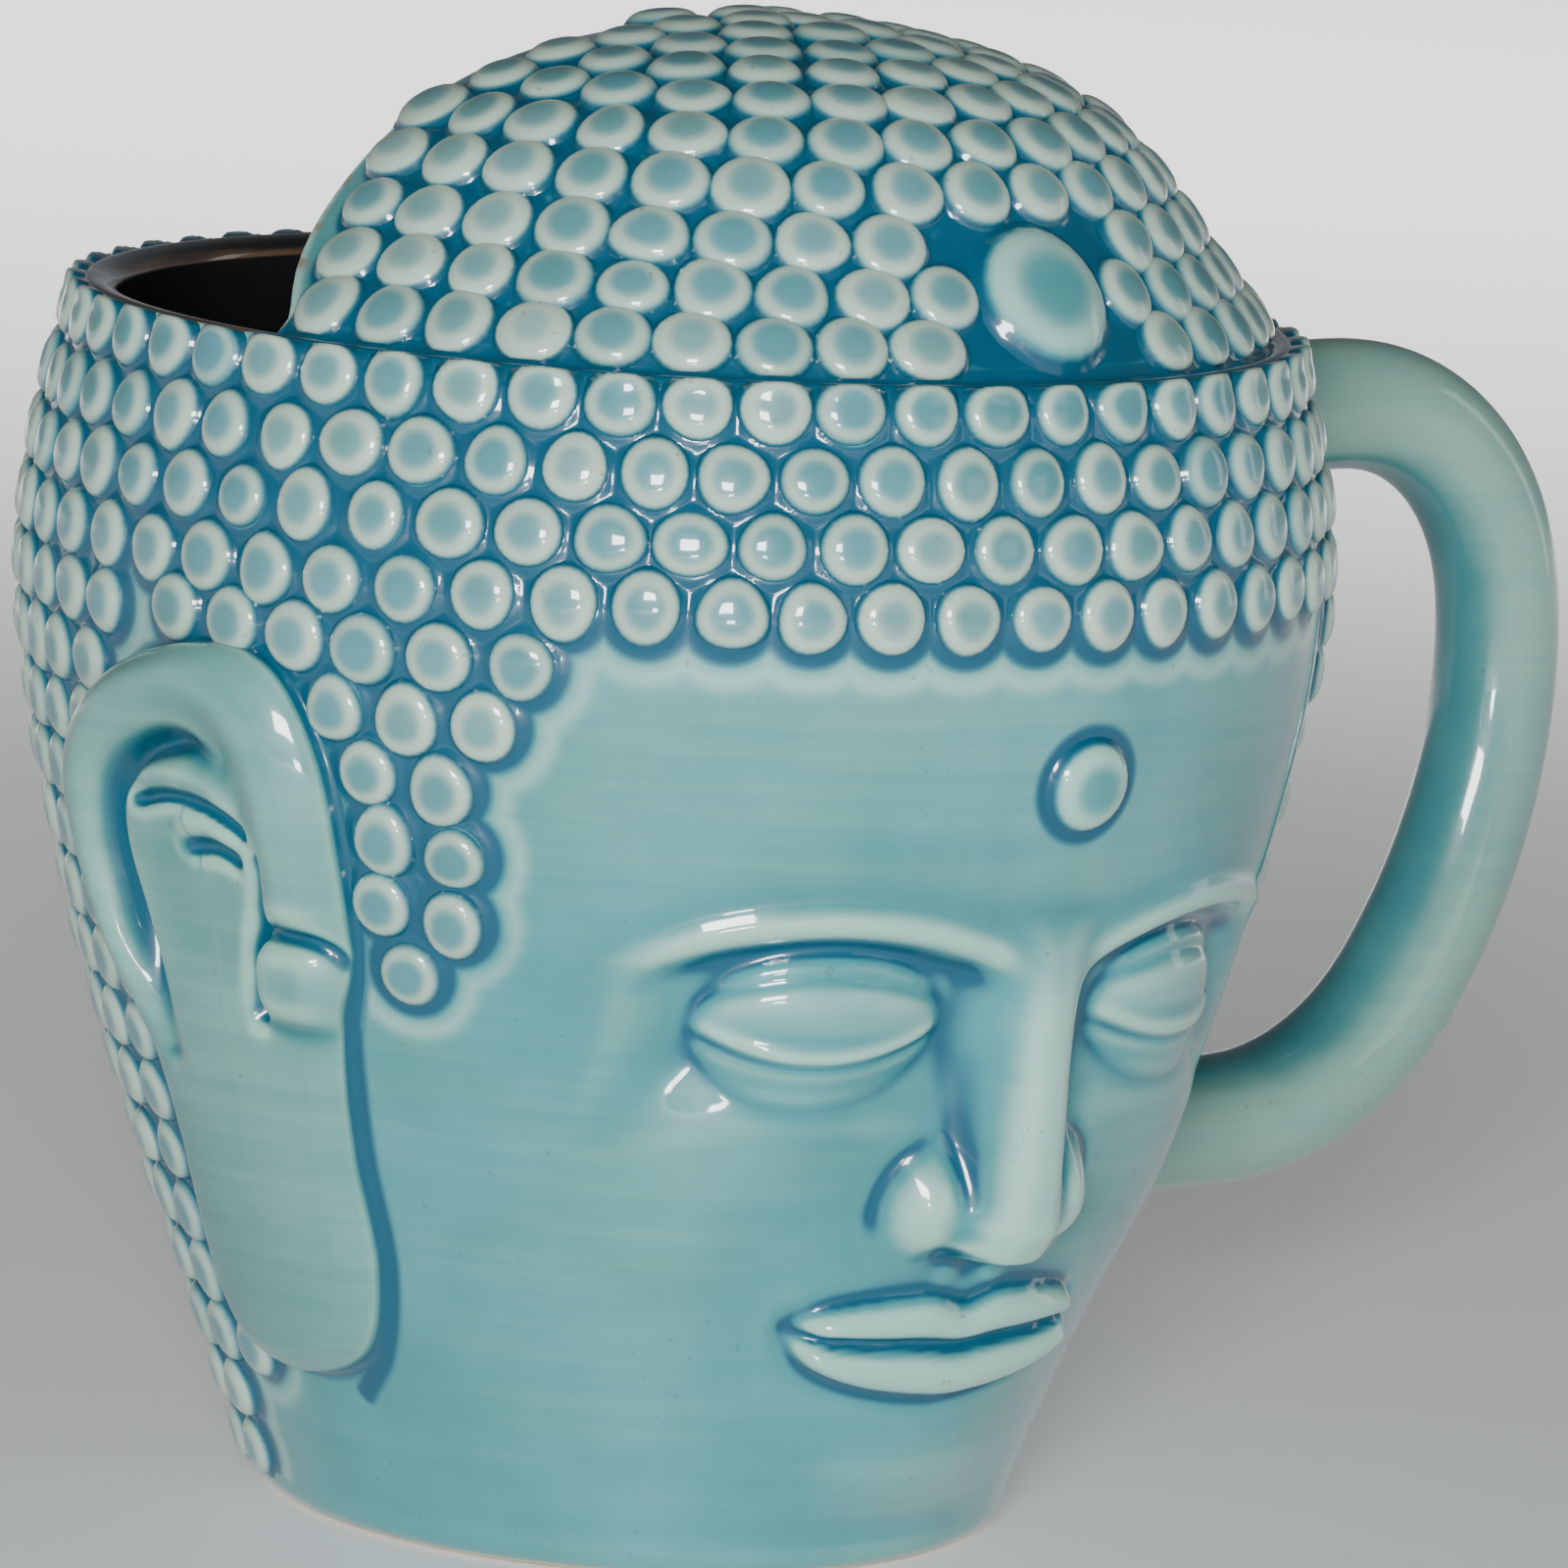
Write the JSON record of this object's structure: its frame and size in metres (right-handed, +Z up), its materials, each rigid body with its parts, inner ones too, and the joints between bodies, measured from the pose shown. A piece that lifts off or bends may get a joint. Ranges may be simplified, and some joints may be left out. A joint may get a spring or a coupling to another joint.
{
  "type": "head-shaped pitcher mug",
  "caption": "Glazed ceramic pitcher mug in the form of a calm head with curled hair, long ears, a half hood over the mouth and a loop handle.",
  "frame": {"origin": "centre of the foot, on the plane the mug stands on", "axes": "+Z up; the face looks along -Y; the handle is at +X, on the head's own left; the mouth of the mug opens behind the hood, towards +Y"},
  "size_m": [0.1838, 0.1355, 0.1499],
  "materials": {
    "body_glaze": "gloss",
    "curl_glaze": "gloss",
    "handle_glaze": "gloss"
  },
  "bodies": {
    "root": {"band_curls_1": "curl_glaze", "band_curls_2": "curl_glaze", "band_curls_3": "curl_glaze", "band_curls_4": "curl_glaze", "crown_hood": "body_glaze", "ear_left": "body_glaze", "ear_right": "body_glaze", "forehead_dot": "curl_glaze", "hair_jewel": "curl_glaze", "handle": "handle_glaze", "hood_curls_01": "curl_glaze", "hood_curls_02": "curl_glaze", "hood_curls_03": "curl_glaze", "hood_curls_04": "curl_glaze", "hood_curls_05": "curl_glaze", "hood_curls_06": "curl_glaze", "hood_curls_07": "curl_glaze", "hood_curls_08": "curl_glaze", "hood_curls_09": "curl_glaze", "hood_curls_10": "curl_glaze", "nape_curls_01": "curl_glaze", "nape_curls_02": "curl_glaze", "nape_curls_03": "curl_glaze", "nape_curls_04": "curl_glaze", "nape_curls_05": "curl_glaze", "nape_curls_06": "curl_glaze", "nape_curls_07": "curl_glaze", "nape_curls_08": "curl_glaze", "nape_curls_09": "curl_glaze", "nape_curls_10": "curl_glaze", "nape_curls_11": "curl_glaze", "nape_curls_12": "curl_glaze", "nape_curls_13": "curl_glaze", "nape_curls_14": "curl_glaze", "nape_curls_15": "curl_glaze", "sideburn_curls_left": "curl_glaze", "sideburn_curls_right": "curl_glaze", "vessel": "body_glaze"}
  },
  "joints": []
}
